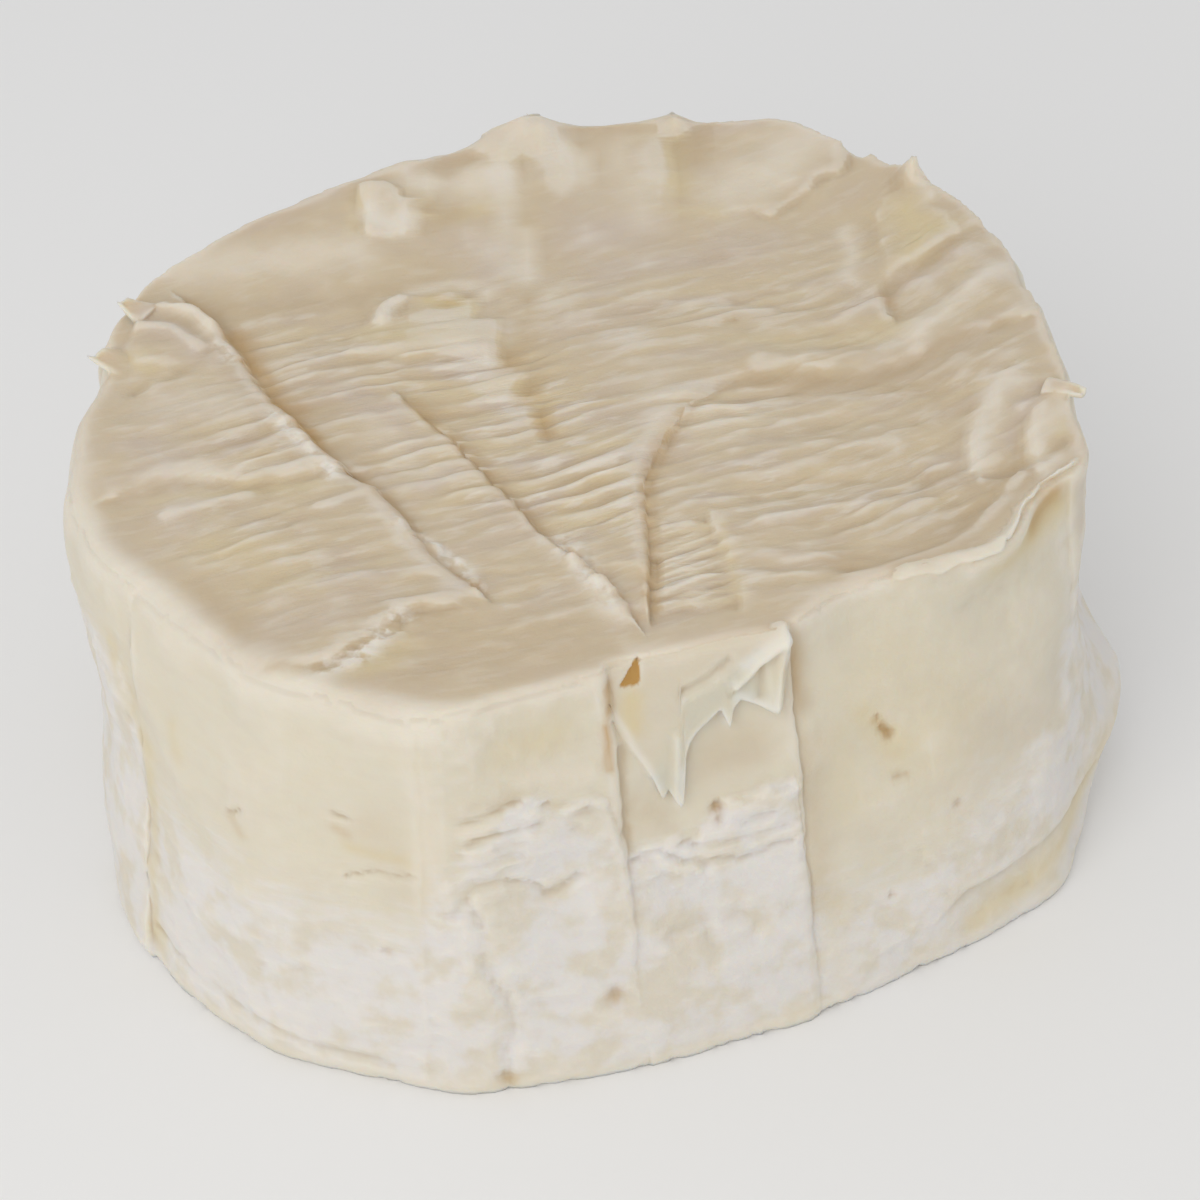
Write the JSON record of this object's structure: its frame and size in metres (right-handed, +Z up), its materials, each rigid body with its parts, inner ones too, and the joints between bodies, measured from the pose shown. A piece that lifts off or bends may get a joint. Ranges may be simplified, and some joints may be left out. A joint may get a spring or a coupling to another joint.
{
  "type": "cheese wheel",
  "caption": "Small soft-ripened cheese wheel with its white rind pared off in knife strokes, leaving a ridged top, faceted sides and torn flakes along the rim",
  "frame": {"origin": "middle of the flat base, at the bottom of the wheel", "axes": "+Z up through the wheel, +X to the right and +Y to the back when the side with the torn skin faces the viewer"},
  "size_m": [0.093, 0.088, 0.0462],
  "materials": {
    "paste": "cream-coloured soft cheese paste with a low moist sheen and patches of white bloomy rind"
  },
  "bodies": {
    "root": {"cheese_wheel": "paste"}
  },
  "joints": []
}
